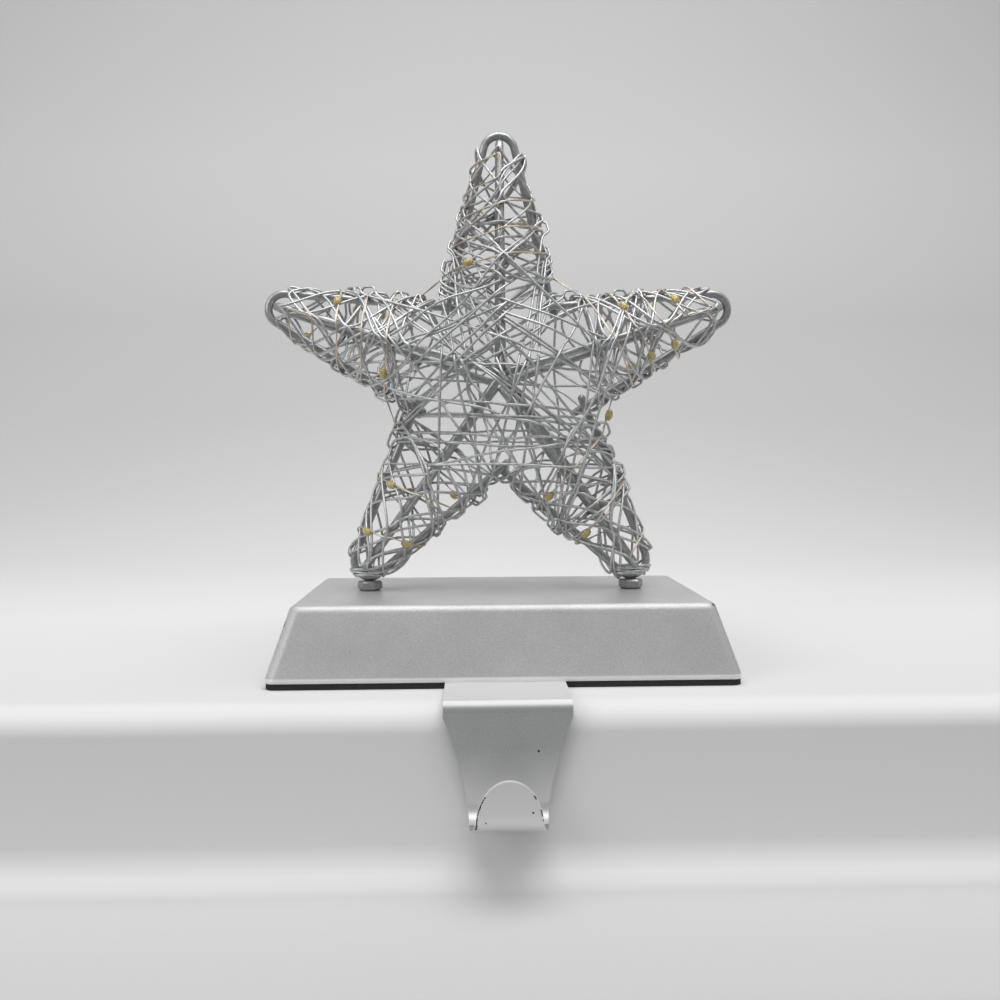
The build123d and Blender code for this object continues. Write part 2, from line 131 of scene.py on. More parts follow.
def chip_mask(tree, spots, ragged):
    """1 inside any of the spots (x, y, z, radius in metres), with a ragged edge from noise."""
    place = tree.nodes.new("ShaderNodeTexCoord")
    noise = tree.nodes.new("ShaderNodeTexNoise")
    noise.inputs["Scale"].default_value = 900
    shift = tree.nodes.new("ShaderNodeVectorMath")
    shift.operation = "MULTIPLY_ADD"
    shift.inputs[1].default_value = (ragged,) * 3
    tree.links.new(place.outputs["Object"], noise.inputs["Vector"])
    tree.links.new(noise.outputs["Color"], shift.inputs[0])
    tree.links.new(place.outputs["Object"], shift.inputs[2])
    nearest = None
    for x, y, z, radius in spots:
        away = tree.nodes.new("ShaderNodeVectorMath")
        away.operation = "DISTANCE"
        away.inputs[1].default_value = (x + ragged / 2, y + ragged / 2, z + ragged / 2)
        tree.links.new(shift.outputs["Vector"], away.inputs[0])
        ratio = tree.nodes.new("ShaderNodeMath")
        ratio.operation = "DIVIDE"
        ratio.inputs[1].default_value = radius
        tree.links.new(away.outputs["Value"], ratio.inputs[0])
        if nearest is None:
            nearest = ratio.outputs["Value"]
            continue
        least = tree.nodes.new("ShaderNodeMath")
        least.operation = "MINIMUM"
        tree.links.new(nearest, least.inputs[0])
        tree.links.new(ratio.outputs["Value"], least.inputs[1])
        nearest = least.outputs["Value"]
    return ramp(tree, nearest, [(0.82, 1.0), (1.0, 0.0)])


def silver_paint(name, dull, bright, grain, roughness, metal=0.82, peel=0.00003, soft=0.0, spots=(), painted_light=()):
    """Silver paint: flakes between two greys, slow cloudiness, an orange-peel skin of the depth peel and chips
    to dark steel. It rounds the edges under it by the radius soft. Each band of painted light in the last argument
    names an axis, two places on it and a grey that the colour goes over to from the first to the second, as a painted
    highlight or painted shade."""
    material, tree, bsdf = shader(name, metal, roughness)
    if soft:
        thick = tree.nodes.new("ShaderNodeBevel")
        thick.inputs["Radius"].default_value = soft
        tree.links.new(thick.outputs["Normal"], bsdf.inputs["Normal"])
    flake = speckle(tree, grain, 1.0)
    cloud = speckle(tree, 60, 3.0)
    colour = ramp(tree, flake, [(0.3, dull), (0.7, bright)])
    colour = mix(tree, "MULTIPLY", 1.0, colour, ramp(tree, cloud, [(0.3, 0.90), (0.7, 1.0)]))
    bump(tree, bsdf, flake, peel)
    for axis, start, end, grey in painted_light:
        colour = mix(tree, "MIX", share(tree, place_on(tree, axis), start, end), colour, (grey,) * 3)
    if spots:
        bare = chip_mask(tree, spots, 0.0006)
        colour = mix(tree, "MIX", bare, colour, (0.05, 0.046, 0.045))
        bump(tree, bsdf, bare, -0.0001)
    tree.links.new(colour, bsdf.inputs["Base Color"])
    return material


def dress(part, material):
    """Gives a piece its material."""
    part.data.materials.clear()
    part.data.materials.append(material)


base_paint = silver_paint(
    "base_paint",
    dull=(0.50, 0.50, 0.505),
    bright=(0.63, 0.63, 0.63),
    grain=3000,
    roughness=0.38,
    metal=0.45,
    peel=0.000015,
    soft=0.0022,
    spots=[
        (0.0629, -0.0325, 0.0229, 0.0007),
        (0.0688, -0.0366, 0.0078, 0.0006),
        (0.0691, -0.0369, 0.0068, 0.0007),
        (0.0694, -0.0372, 0.0056, 0.0004),
        (-0.0650, -0.0330, 0.0187, 0.0005),
        (-0.0652, -0.0332, 0.0178, 0.0006),
        (-0.0695, -0.0378, 0.0062, 0.0004),
        (-0.0452, -0.0372, 0.0106, 0.0002),
    ],
    # Painted highlight: the colour goes over to a light grey along the lip, below 3.4 mm.
    painted_light=[("Z", 0.0034, 0.0029, 0.92)],
)
dress(node["base_shell"], base_paint)

# Pad: a sheet of black foam, cut to the outline of the base and glued under it, so that it doesn't slide. It shows
# as a dark line below the lip. The ring round the light string's lead is black too.


def tint(tree, bsdf, value, stops):
    """Gives the shader a colour picked from value by stops."""
    tree.links.new(ramp(tree, value, stops), bsdf.inputs["Base Color"])


foam, tree, bsdf = shader("black_foam", 0.0, 0.9)
cells = speckle(tree, 2600, 3.0)
tint(tree, bsdf, cells, [(0.3, 0.008), (0.7, 0.03)])
bump(tree, bsdf, cells, 0.0002)
dress(node["base_pad"], foam)
dress(node["lead_grommet"], foam)

# Bottom plate, contact strips and foot screws: plain zinc-plated steel, faintly brushed along the mantel.
# The plate closes the base inside its lip, and the screws come up through the weights into the foot nuts.
zinc, tree, bsdf = shader("plain_zinc", 0.95, 0.4)
brush = speckle(tree, 900, 3.0, (0.05, 1, 1))
tint(tree, bsdf, brush, [(0.3, 0.34), (0.7, 0.5)])
bump(tree, bsdf, brush, 0.00002)
for part in ("bottom_plate", "contact_strips", "foot_screws"):
    dress(node[part], zinc)

# Weights: two rough iron castings in the front corners of the base.
# The foot screws clamp them under its top.
iron, tree, bsdf = shader("cast_iron", 0.6, 0.7)
sand = speckle(tree, 700, 4.0)
tint(tree, bsdf, sand, [(0.3, 0.03), (0.7, 0.09)])
bump(tree, bsdf, sand, 0.0003)
for part in ("left_weight", "right_weight"):
    dress(node[part], iron)

# Battery housing, door and switch case: black moulded plastic with a fine spark grain.
# The housing is bonded to the bottom plate, and the door presses into it from below.
moulding, tree, bsdf = shader("black_moulding", 0.0, 0.5)
spark = speckle(tree, 3500, 2.0)
tint(tree, bsdf, spark, [(0.3, 0.012), (0.7, 0.03)])
bump(tree, bsdf, spark, 0.00004)
for part in ("battery_housing", "battery_door", "switch_case"):
    dress(node[part], moulding)

# Switch slider: a pale plastic knob that shows in its slot under the base
# and slides along the mantel.
knob, tree, bsdf = shader("pale_knob", 0.0, 0.45)
tint(tree, bsdf, speckle(tree, 3000), [(0.3, 0.5), (0.7, 0.58)])
dress(node["switch_slider"], knob)

# Cells: two dry cells in plain shrink sleeves, side by side in the housing,
# with bare metal towards their ends, 20 mm from the middle.
sleeve, tree, bsdf = shader("cell_sleeve", 0.3, 0.35)
sideways = tree.nodes.new("ShaderNodeMath")
sideways.operation = "ABSOLUTE"
tree.links.new(place_on(tree, "X"), sideways.inputs[0])
far = share(tree, sideways.outputs["Value"], 0.0, 0.025)
tint(tree, bsdf, far, [(0.80, (0.05, 0.055, 0.065)), (0.82, (0.55, 0.55, 0.56))])
for part in ("front_cell", "rear_cell"):
    dress(node[part], sleeve)

# Hook: one strip of sheet steel, welded under the plate, folded down over the mantel edge and curled up into a
# tongue. Its colour carries painted light: a painted highlight on the strap, the lower plate and the tongue, and
# painted shade over the fold and inside the curl. It is worn off the tongue's left edge in a line and off its right
# edge in short lengths, and there are three small nicks.
tongue_half, tongue_z, tongue_tip = 0.0088, -0.02828, -0.0165
curl_y, curl_z, curl_r = -0.0645, -0.0255, 0.0060
worn_r = 0.00042


def tongue_edge(side, heights):
    """Worn spots at the given heights on one side of the tongue's elliptical edge, on its front face, which is
    flat above the curl's centre and an arc below it."""
    z = np.array(heights)
    x = side * tongue_half * np.sqrt(1 - np.clip((z - tongue_z) / (tongue_tip - tongue_z), 0, 1) ** 2)
    y = curl_y - np.sqrt(curl_r ** 2 - np.minimum(z - curl_z, 0) ** 2)
    return [(*spot, worn_r) for spot in np.stack([x, y, z], axis=1).tolist()]


worn_left = tongue_edge(-1, np.linspace(-0.0205, -0.0292, 15))
worn_right = tongue_edge(1, [-0.0203, -0.0208, -0.0240, -0.0246, -0.0252, -0.0266])
nicks = [
    (0.0082, -0.0600, -0.0120, 0.00035),
    (0.0060, -0.0705, -0.0245, 0.0003),
    (-0.0062, -0.0702, -0.0272, 0.0003),
]
hook_paint = silver_paint(
    "hook_paint",
    dull=(0.44, 0.45, 0.455),
    bright=(0.60, 0.61, 0.615),
    grain=3000,
    roughness=0.37,
    metal=0.5,
    peel=0.00001,
    spots=worn_left + worn_right + nicks,
    # Bands of painted light: painted shade over the fold, a painted highlight on the strap, the lower plate and the
    # tongue, and painted shade inside the curl.
    painted_light=[
        ("Z", -0.0017, -0.0004, 0.36),  # fold over the mantel edge
        ("Z", 0.0011, 0.0016, 0.64),  # strap
        ("Z", -0.0110, -0.0230, 0.70),  # lower plate
        ("Z", -0.0260, -0.0285, 0.46),  # inside of the curl
        ("Y", -0.066, -0.070, 0.80),  # tongue
    ],
)
dress(node["hook"], hook_paint)

# Foot nuts: a hexagon nut under each lower tip of the star, painted over with the wire.
# The tip stands on the nut, which a screw from inside the base holds.
nut_paint = silver_paint(
    "nut_paint", dull=(0.30, 0.30, 0.305), bright=(0.46, 0.46, 0.465), grain=2600, roughness=0.32
)
dress(node["foot_nuts"], nut_paint)

# Star frame: each point is two crossed hairpins of heavy wire, painted silver.
# A side hairpin lies in the star's plane, turned a little about the point's axis so that
# its ends pass in front of one neighbour and behind the other. A ridge hairpin stands across it.
points = {"top_point": 90, "left_arm": 162, "left_leg": 234, "right_leg": 306, "right_arm": 18}
star_r, notch_r, star_half = 0.0805, 0.0295, 0.020
heavy_d, thin_d, air = 0.0026, 0.00085, 0.0001
side_bend_r, ridge_bend_r, hub_gap, tail = 0.0052, 0.0042, 0.0021, 0.0030
heavy_r, thin_r = heavy_d / 2, thin_d / 2
nut_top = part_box("foot_nuts")[1].z
side_u = star_r - heavy_r - side_bend_r
star_z = nut_top + side_bend_r + heavy_r + side_u * np.cos(np.radians(36))
notch_u, notch_v = notch_r * np.cos(np.radians(36)), notch_r * np.sin(np.radians(36))


def spread(bend_u, bend_r, end_u, end_v):
    """Slope of a hairpin's leg that leaves its bend along a tangent and passes through (end_u, end_v)."""
    return np.arctan2(end_v, bend_u - end_u) - np.arcsin(bend_r / np.hypot(end_v, bend_u - end_u))


side_slope = spread(side_u, side_bend_r, notch_u, notch_v)
side_turn = np.arcsin((heavy_d + air) / 2 / notch_v)
ridge_u = star_r - 3 * heavy_r - air - ridge_bend_r
ridge_slope = spread(ridge_u, ridge_bend_r, hub_gap, star_half)


def leg_at(u, bend_u, bend_r, slope):
    """Distance of a hairpin's wire from its axis at u along it: on the straight leg, then round the bend."""
    leg = bend_r * np.cos(slope) + (bend_u + bend_r * np.sin(slope) - u) * np.tan(slope)
    arc = np.sqrt(np.maximum(bend_r ** 2 - (u - bend_u) ** 2, 0))
    return np.where(u < bend_u + bend_r * np.sin(slope), leg, arc)


def side_at(u):
    """Distance of a side wire from its point's axis, u along the axis."""
    return leg_at(u, side_u, side_bend_r, side_slope)


def ridge_at(u):
    """Distance of a ridge wire from the star's plane, u along the point's axis."""
    return leg_at(u, ridge_u, ridge_bend_r, ridge_slope)


def on_star(angle, u, v, y):
    """Places on the star: u out along a direction given in degrees, v sideways from it, y back from the star's
    plane."""
    a = np.radians(angle)
    return np.stack([u * np.cos(a) - v * np.sin(a), y + 0 * u, star_z + u * np.sin(a) + v * np.cos(a)], axis=-1)


def unit(vectors):
    """The same directions with length 1."""
    return vectors / np.maximum(np.linalg.norm(vectors, axis=-1, keepdims=True), 1e-12)


def smooth_piece(name, verts, faces):
    """A smoothly shaded piece from its corners and faces, put into the scene."""
    mesh = bpy.data.meshes.new(name)
    mesh.from_pydata(verts, [], faces)
    mesh.polygons.foreach_set("use_smooth", np.ones(len(faces), bool))
    mesh.validate()
    piece = bpy.data.objects.new(name, mesh)
    bpy.context.scene.collection.objects.link(piece)
    return piece


def tube(name, runs, sides):
    """Round wires along paths: a circle of each run's radius is carried along its path, square to it, and turned so
    that its first point faces the run's outward direction. Each end is closed by a quarter-round dome."""
    verts, faces, base = [], [], 0
    turn = np.arange(sides) / sides * 2 * np.pi
    dome = np.radians([90, 60, 30, 0])
    for path, radius, outward in runs:
        along = unit(np.gradient(path, axis=0))
        reach = radius * np.sin(dome)
        path = np.vstack([path[0] - along[0] * reach[:-1, None], path, path[-1] + along[-1] * reach[-2::-1, None]])
        outward = np.vstack([outward[:1]] * 3 + [outward] + [outward[-1:]] * 3)
        along = np.vstack([along[:1]] * 3 + [along] + [along[-1:]] * 3)
        size = np.full(len(path), radius)
        size[:3] = size[-1:-4:-1] = radius * np.maximum(np.cos(dome[:3]), 0.08)
        first = unit(outward - (outward * along).sum(1, keepdims=True) * along)
        second = np.cross(along, first)
        ring = np.cos(turn)[None, :, None] * first[:, None] + np.sin(turn)[None, :, None] * second[:, None]
        grid = path[:, None] + ring * size[:, None, None]
        rings = len(path)
        index = base + np.arange(rings * sides).reshape(rings, sides)
        right = np.roll(index, -1, axis=1)
        quads = np.stack([index[:-1], right[:-1], right[1:], index[1:]], axis=-1).reshape(-1, 4)
        verts.append(grid.reshape(-1, 3))
        faces += quads.tolist() + [index[0, ::-1].tolist(), index[-1].tolist()]
        base += rings * sides
    return smooth_piece(name, np.vstack(verts), faces)


def hairpin(bend_u, bend_r, slope, end_u, end_v):
    """A hairpin in its own plane: a straight leg, an arc round the bend and the other leg, as (u, v) points."""
    swing = np.linspace(np.pi / 2 - slope, slope - np.pi / 2, 28)
    arc = np.stack([bend_u + bend_r * np.cos(swing), bend_r * np.sin(swing)], axis=1)
    leg = np.linspace([end_u, end_v], arc[0], 24, endpoint=False)
    return np.vstack([leg, arc, leg[::-1] * [1, -1]])


wire_paint = silver_paint(
    "frame_wire_paint",
    dull=(0.38, 0.384, 0.39),
    bright=(0.50, 0.504, 0.51),
    grain=900,
    roughness=0.34,
    metal=0.65,
)
tail_u = notch_u - tail * np.cos(side_slope)
for name, angle in points.items():
    u, v = hairpin(side_u, side_bend_r, side_slope, tail_u, side_at(tail_u)).T
    path = on_star(angle, u, v * np.cos(side_turn), -v * np.sin(side_turn))
    front = np.tile([0.0, -1.0, 0.0], (len(path), 1))
    rod = tube(f"{name}_side_rod", [(path, heavy_r, front)], 16)
    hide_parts(f"{name}_side_wire")
    u, y = hairpin(ridge_u, ridge_bend_r, ridge_slope, hub_gap, star_half).T
    path = on_star(angle, u, 0 * u, -y)
    across = np.tile(on_star(angle, 0.0, 1.0, 0.0) - [0, 0, star_z], (len(path), 1))
    ridge = tube(f"{name}_ridge_rod", [(path, heavy_r, across)], 16)
    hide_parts(f"{name}_ridge_wire")
    for piece in (rod, ridge):
        dress(piece, wire_paint)
        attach(piece, "stand")

# Wound wire: thin stiff wire wound round each point by hand, out to the tip and back eight times over.
# It runs steeply, so that the turns cross, lies on the four ribs and bulges a little between them. At each foot
# a few more turns lie level round the bend.
chance = np.random.default_rng(7)
lay = thin_d + 2 * air
first = heavy_r + thin_r + air
root_u, end_u = notch_u + 0.0090, ridge_u + 0.0015


def on_skin(angle, u, ribs, off):
    """Places round a point at u along it. ribs counts the ribs passed: front ridge 0, one side 1, back ridge 2, other
    side 3. The section goes through them at the distance off, as a cosine and a sine raised to the power 1.5."""
    c, s = np.cos(ribs * np.pi / 2), np.sin(ribs * np.pi / 2)
    v = -np.sign(s) * np.abs(s) ** 1.5 * (side_at(u) + off)
    y = -np.sign(c) * np.abs(c) ** 1.5 * (ridge_at(u) + off)
    return on_star(angle, u, v, y - v * np.tan(side_turn))


def drift(count, step, size):
    """Slow random wandering: random values at every step-th place, joined smoothly."""
    knots = np.arange(0, count + 2 * step, step)
    values = np.clip(chance.normal(0, size, len(knots)), -2 * size, 2 * size)
    at = np.arange(count) / step
    k, f = at.astype(int), at % 1
    f = f * f * (3 - 2 * f)
    return values[k] * (1 - f) + values[k + 1] * f


def wire_run(path):
    """A thin wire, ready for tube: its path, its radius and the way out from the middle of the star."""
    return path, thin_r, unit(path - [0, 0, star_z])


def foot_turns(angle):
    """Five level turns round the bend of a leg's side hairpin, just above its nut: ellipses as wide as the bend is at
    their height, which wavers a little on the way up."""
    low, high, waver, half_depth, clear = 0.0014, 0.0044, 0.0003, 0.0027, 0.0004
    turn = np.linspace(0, 10 * np.pi, 200)
    height = np.linspace(low, high, 200) + waver * np.sin(1.7 * turn)
    outside = side_bend_r + heavy_r
    half = np.sqrt(outside ** 2 - (outside - height) ** 2) + clear
    offset = np.stack([half * np.cos(turn), half_depth * np.sin(turn), height], axis=1)
    return offset + [on_star(angle, side_u, 0.0, 0.0)[0], 0, nut_top]


wound_paint = silver_paint(
    "wound_wire_paint",
    dull=(0.48, 0.484, 0.49),
    bright=(0.68, 0.684, 0.69),
    grain=900,
    roughness=0.34,
    metal=0.6,
)
trips, steps = 8, 150
leg_tip_u, other_tip_u = 0.0770, 0.0752
count = trips * steps
for name, angle in points.items():
    tip_u = leg_tip_u if "leg" in name else other_tip_u
    s = np.arange(count) / steps
    way = 0.5 - np.arcsin(0.985 * np.cos(2 * np.pi * s)) / 2 / np.arcsin(0.985)
    low_u = notch_u + 0.003 + np.abs(drift(count, steps, 0.004))
    high_u = tip_u - np.abs(drift(count, steps, 0.0025))
    u = np.minimum(low_u + (high_u - low_u) * way + drift(count, 60, 0.0006), tip_u)
    pace = 1.2 + np.abs(drift(count, 150, 0.5))
    ribs = 4 * np.cumsum(pace) / steps + chance.uniform(0, 4)
    off = first + 0.0001 + np.abs(drift(count, 75, 0.0006))
    runs = [on_skin(angle, u, ribs, off)] + ([foot_turns(angle)] if "leg" in name else [])
    coil = tube(f"{name}_winding", [wire_run(path) for path in runs], 8)
    dress(coil, wound_paint)
    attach(coil, "stand")
    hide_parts(f"{name}_wrap")

# Wound wire on the body: the same wire crosses the middle of the star in nearly straight runs over the ridges,
# first in front, then behind. It turns round the points' sides, near the notches or further out, in round loops.
# Three turns lie across the tops of the two legs.
point_angles = np.array(list(points.values()))
crossed = np.zeros((10, 10))  # runs so far from each side of a point to each other one
draws, shortest_run = 12, 0.012


def over_ridges(start, end, face, clear):
    """A taut run between two places, seen from the front a straight line: it rises over each ridge it crosses by
    the distance clear, and only the ridges on the upper hull of that profile bend it. face is -1 in front and 1
    behind."""
    line = end - start
    ways, heights = [0.0, 1.0], [face * start[1], face * end[1]]
    for a in np.radians(point_angles):
        e = np.array([np.cos(a), np.sin(a)])
        system = np.array([[line[0], -e[0]], [line[2], -e[1]]])
        if abs(np.linalg.det(system)) < 1e-9:
            continue
        t, u = np.linalg.solve(system, [-start[0], star_z - start[2]])
        if 0.03 < t < 0.97 and 0 < u < ridge_u + ridge_bend_r:
            ways.append(t)
            heights.append(ridge_at(u) + clear)
    hull = []
    for k in np.argsort(ways):
        while len(hull) > 1:
            (t1, h1), (t2, h2) = hull[-2:]
            if (h2 - h1) * (ways[k] - t1) > (heights[k] - h1) * (t2 - t1):
                break
            hull.pop()
        hull.append((ways[k], heights[k]))
    return [np.array([start[0] + line[0] * t, face * h, start[2] + line[2] * t]) for t, h in hull[1:-1]]


def turn_at(i, s, u):
    """A turn round a side rib of point i, side s, at u: the rib's centre, the way out and the way along the rib."""
    a = point_angles[i]
    centre = on_star(a, u, s * side_at(u), -s * side_at(u) * np.tan(side_turn))
    outward = on_star(a, np.sin(side_slope), s * np.cos(side_slope), 0.0) - [0, 0, star_z]
    along = on_star(a, np.cos(side_slope), -s * np.sin(side_slope), 0.0) - [0, 0, star_z]
    return centre, outward, along


def wander(count, side):
    """Turns one after the other, near the notches. A run leaves one side inwards, reaches the next from the
    inside and goes on along a rib the way it came, as a stiff wire does. Few runs lie level below the middle. Of
    a dozen turns drawn at random, the one with the least wire on its way is taken."""
    turns, heading = [turn_at(side // 2, 2 * (side % 2) - 1, notch_u + 0.012)], np.zeros(3)
    while len(turns) < count:
        centre, outward, along = turns[-1]
        choice = None
        for draw in range(draws):
            far_side = chance.integers(10)
            far_u = notch_u - 0.001 + 0.032 * chance.uniform() ** 1.3
            far = turn_at(far_side // 2, 2 * (far_side % 2) - 1, far_u)
            length = np.linalg.norm(far[0] - centre)
            run = (far[0] - centre) / max(length, 1e-6)
            on = (run @ along) * (heading @ along)
            level = abs(run[2]) < 0.35 and far[0][2] < star_z - 0.004 and chance.uniform() < 0.75
            crowd = crossed[side, far_side] + crossed[far_side].sum() / 10
            inwards = run @ outward < -0.2 and run @ far[1] > 0.2
            if length > shortest_run and inwards and on > -0.05 and not level:
                if choice is None or crowd < choice[0]:
                    choice = crowd, far, run, far_side
        if choice:
            crossed[side, choice[3]] += 1
            crossed[choice[3], side] += 1
            turns.append(choice[1])
            heading, side = choice[2:]
    return turns


def wind(turns, loose, face):
    """Corners of a wire that goes through turns, first over the front, then behind, and so on. In a turn it goes
    on along the rib, as far as its runs slope that way, and stands off the rib as far as that lets it."""
    centres, outward, along = (np.array(part) for part in zip(*turns))
    heading = unit(np.diff(centres, axis=0))
    heading = np.vstack([heading[:1], heading, heading[-1:]])
    slope = ((heading[:-1] + heading[1:]) * along).sum(1) / 2
    slip = along * (slope * 0.0045)[:, None]
    slack = (first + np.abs(slope) * loose * chance.uniform(0, 1, len(turns)))[:, None] * outward
    corners = []
    for k, centre in enumerate(centres):
        cheek = np.array([0, 0.8 * first * face, 0])
        loop = [
            centre - slip[k] + slack[k] * 0.5 - cheek,
            centre - slip[k] * 0.6 + slack[k] * 1.1 - cheek * 0.6,
            centre + slip[k] * 0.6 + slack[k] * 1.1 + cheek * 0.6,
            centre + slip[k] + slack[k] * 0.5 + cheek,
        ]
        if corners:
            corners += over_ridges(corners[-1], loop[0], -face, first + chance.uniform(0.0002, 0.0020))
        corners += loop
        face = -face
    return np.array(corners)


def bent(corners, bend, bow):
    """A wire through corners: control points a bend's length before and after each corner and one at the middle of
    each run, moved by bow, are joined by a quadratic B-spline, which runs straight between the bends."""
    runs = np.diff(corners, axis=0)
    length = np.linalg.norm(runs, axis=1, keepdims=True)
    cut = np.minimum(bend, 0.5 * length)
    sag = bow * np.clip(length / 0.02 - 0.2, 0, 1.5)
    start, end = corners[:-1] + unit(runs) * cut, corners[1:] - unit(runs) * cut
    middle = corners[:-1] + runs / 2 + sag
    control = np.vstack([np.stack([corners[:-1], start, middle, end], axis=1).reshape(-1, 3), corners[-1:]])
    t = np.linspace(0, 1, 4, endpoint=False)[None, :, None]
    low = (control[:-2] + control[1:-1])[:, None] / 2
    high = (control[1:-1] + control[2:])[:, None] / 2
    curve = (1 - t) ** 2 * low + 2 * t * (1 - t) * control[1:-1, None] + t ** 2 * high
    curve = np.vstack([control[:1], curve.reshape(-1, 3), control[-1:]])
    apart = np.linalg.norm(np.diff(curve, axis=0), axis=1)
    return curve[np.concatenate([[True], apart > 0.0002])]


waist = [(2, -1, 0.029), (3, 1, 0.031), (2, -1, 0.033), (3, 1, 0.036), (2, -1, 0.036), (3, 1, 0.041)]
laps, lap_turns, slackest = 8, 15, 0.0040
runs = []
for turns in [wander(lap_turns, lap) for lap in range(laps)] + [[turn_at(*place) for place in waist]]:
    corners = wind(turns, slackest, -1)
    bends = chance.uniform(0.0030, 0.0070, (len(corners) - 1, 1))
    bows = chance.normal(0, 0.0009, (len(corners) - 1, 3))
    runs.append(wire_run(bent(corners, bends, bows)))
belts = tube("body_winding", runs, 6)
dress(belts, wound_paint)
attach(belts, "stand")
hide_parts("body_wraps")

# Light string: two fine varnished strands side by side, wound over the star from one foot round to the other.
# On a point it winds out, turns back on the front ridge and winds in beside itself. A drop of clear resin
# over a yellow chip is moulded round the strands every few centimetres.
drop_d, drop_l, chip_d, chip_l = 0.0026, 0.0040, 0.0018, 0.0026
strand_r, strand_apart, half_twist = 0.0002, 0.00028, 0.012
string_off = first + lay
led_root, led_end = root_u + 0.0005, end_u - 0.0020
led_step = (led_end - led_root) / 9
lit = (1, 2, 5, 7, 10, 12, 15, 17, 21, 27, 29, 34, 38, 46, 49, 53, 56, 57, 60, 62, 64, 66)
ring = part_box("lead_grommet")
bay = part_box("battery_housing")
lead_x, lead_y = (ring[0].x + ring[1].x) / 2, (ring[0].y + ring[1].y) / 2
bay_y, bay_floor, house_left = (bay[0].y + bay[1].y) / 2, bay[0].z, bay[0].x + 0.004
lead = np.array([
    [house_left - 0.00005, bay_y, bay_floor + 0.006],
    [house_left - 0.0030, bay_y, bay_floor + 0.006],
    [lead_x, lead_y, bay_floor + 0.010],
    [lead_x, lead_y, ring[1].z + 0.0017],
])
path, middles = [bent(lead, np.full((3, 1), 0.002), np.zeros((3, 3)))], []
for name in ("left_leg", "left_arm", "top_point", "right_arm", "right_leg"):
    for first_rib, count in ((3, 10), (5, 10 if name == "left_leg" else 8)):
        if (name, first_rib) in (("left_leg", 3), ("right_leg", 5)):
            continue
        ribs = first_rib + np.linspace(0, count - 1, 24 * (count - 1) + 1)
        turn = on_skin(points[name], led_root + led_step * (ribs - first_rib), ribs, string_off)
        turn = turn[::-1] if first_rib == 5 else turn
        if first_rib == 3:
            middles.append((path[-1][-1] + turn[0]) / 2)
        middles += list(turn[12::24])
        path.append(turn)
path = np.vstack(path)
gaps = np.linalg.norm(np.diff(path, axis=0), axis=1)
way = np.concatenate([[0], np.cumsum(gaps)])
evenly = np.arange(0, way[-1], 0.0006)
path = np.stack([np.interp(evenly, way, path[:, k]) for k in range(3)], axis=1)
for smoothing in range(4):
    path[1:-1] = (path[:-2] + 2 * path[1:-1] + path[2:]) / 4
outward = unit(path - [0, 0, star_z])
along = unit(np.gradient(path, axis=0))
sideways = unit(np.cross(along, outward))
twist = evenly / half_twist * np.pi
sway = (np.cos(twist)[:, None] * sideways + 0.5 * np.sin(twist)[:, None] * outward) * strand_apart
strand, tree, bsdf = shader("varnished_strand", 0.7, 0.35)
tint(tree, bsdf, speckle(tree, 260, 2.0), [(0.35, (0.62, 0.58, 0.50)), (0.65, (0.72, 0.62, 0.52))])
string = tube("light_string", [(path + sway, strand_r, outward), (path - sway, strand_r, outward)], 6)
dress(string, strand)
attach(string, "stand")
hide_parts("led_wire")

centre = np.array(middles)[list(lit)]
nearest = np.array([np.argmin(np.linalg.norm(path - c, axis=1)) for c in centre])
middle = path[nearest] + outward[nearest] * 0.0005
axis = along[nearest]


def lemons(name, centres, axes, length, width, rings, sides):
    """Lemon-shaped drops: circles carried along each axis, their size a sine of the way from end to end."""
    way = np.linspace(0, np.pi, rings)
    turn = np.arange(sides) / sides * 2 * np.pi
    a = unit(np.cross(axes, [0.31, 0.52, 0.80]))
    b = np.cross(axes, a)
    size = np.maximum(np.sin(way), 0.12) ** 0.8 * width / 2
    ring_dirs = np.cos(turn)[None, :, None] * a[:, None] + np.sin(turn)[None, :, None] * b[:, None]
    grid = (centres[:, None, None] - np.cos(way)[None, :, None, None] * axes[:, None, None] * length / 2
            + size[None, :, None, None] * ring_dirs[:, None])
    index = np.arange(len(centres) * rings * sides).reshape(len(centres), rings, sides)
    right = np.roll(index, -1, axis=2)
    quads = np.stack([index[:, :-1], right[:, :-1], right[:, 1:], index[:, 1:]], axis=-1).reshape(-1, 4)
    caps = index[:, 0, ::-1].tolist() + index[:, -1].tolist()
    return smooth_piece(name, grid.reshape(-1, 3), quads.tolist() + caps)


resin, tree, bsdf = shader("clear_resin", 0.0, 0.12)
tint(tree, bsdf, speckle(tree, 700, 1.0), [(0.35, (0.90, 0.82, 0.55)), (0.65, (0.95, 0.92, 0.78))])
bsdf.inputs["Transmission Weight"].default_value = 0.75
drops = lemons("light_drops", middle, axis, drop_l, drop_d, 13, 16)
dress(drops, resin)
phosphor, tree, bsdf = shader("yellow_chip", 0.0, 0.5)
tint(tree, bsdf, speckle(tree, 2500, 1.0), [(0.35, (0.80, 0.60, 0.04)), (0.65, (0.88, 0.74, 0.14))])
chips = lemons("light_chips", middle, axis, chip_l, chip_d, 7, 8)
dress(chips, phosphor)
for piece in (drops, chips):
    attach(piece, "stand")
    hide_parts("led_drops")

